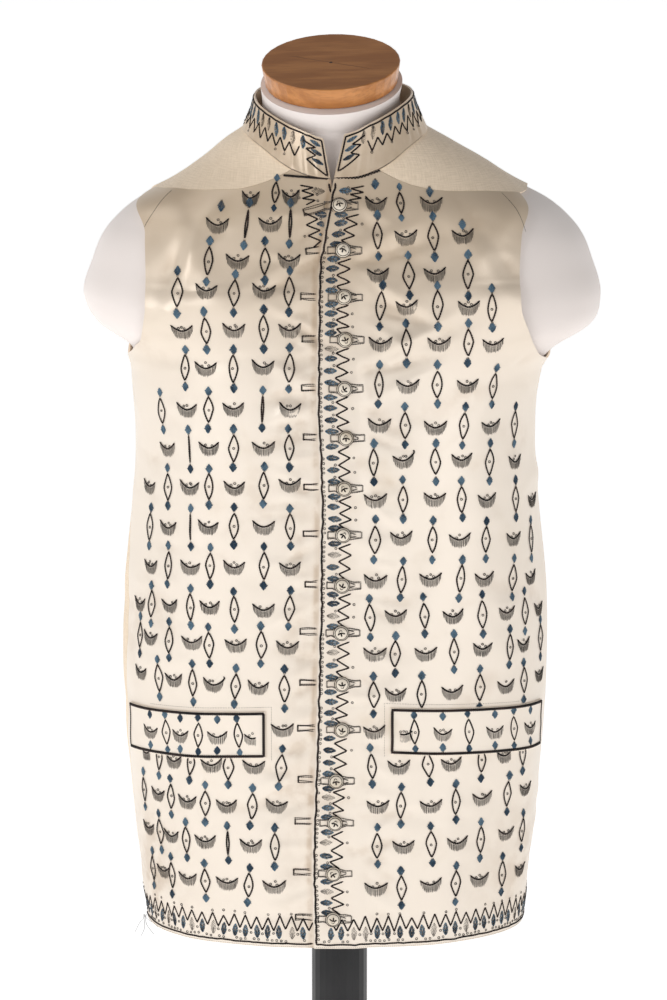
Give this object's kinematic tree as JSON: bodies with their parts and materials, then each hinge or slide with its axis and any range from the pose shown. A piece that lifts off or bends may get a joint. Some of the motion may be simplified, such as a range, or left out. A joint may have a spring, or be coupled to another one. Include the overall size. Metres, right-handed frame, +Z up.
{
  "type": "embroidered waistcoat on a limbless dress form and stand",
  "caption": "Sleeveless stand-collar silk waistcoat, embroidered fronts and pocket flaps, buttoned on a limbless dress form with post and round base.",
  "frame": {"origin": "middle of the underside of the stand's round base, on the surface it stands on", "axes": "+Z up, the waistcoat's front faces -Y, and +X is the wearer's left"},
  "size_m": [0.4255, 0.32, 0.9666],
  "materials": {
    "satin": "ivory silk satin, glossy along the drape, with silk embroidery and small metal sequins",
    "linen": "plain-weave beige linen, matt",
    "button": "satin-covered domed button with a dark stitched ring and sprig",
    "form": "off-white stretched jersey over a padded form, matt",
    "wood": "turned maple, orange-tan varnish, semi-gloss",
    "steel": "black satin paint"
  },
  "bodies": {
    "root": {"front_left": "satin", "front_right": "satin", "back_left": "linen", "back_right": "linen", "collar": "satin", "flap_left": "satin", "flap_right": "satin", "button_01": "button", "button_02": "button", "button_03": "button", "button_04": "button", "button_05": "button", "button_06": "button", "button_07": "button", "button_08": "button", "button_09": "button", "button_10": "button", "button_11": "button", "button_12": "button", "button_13": "button", "button_14": "button", "button_15": "button", "button_16": "button", "form_torso": "form", "neck_cap": "wood", "post": "steel", "base": "steel"}
  },
  "joints": []
}
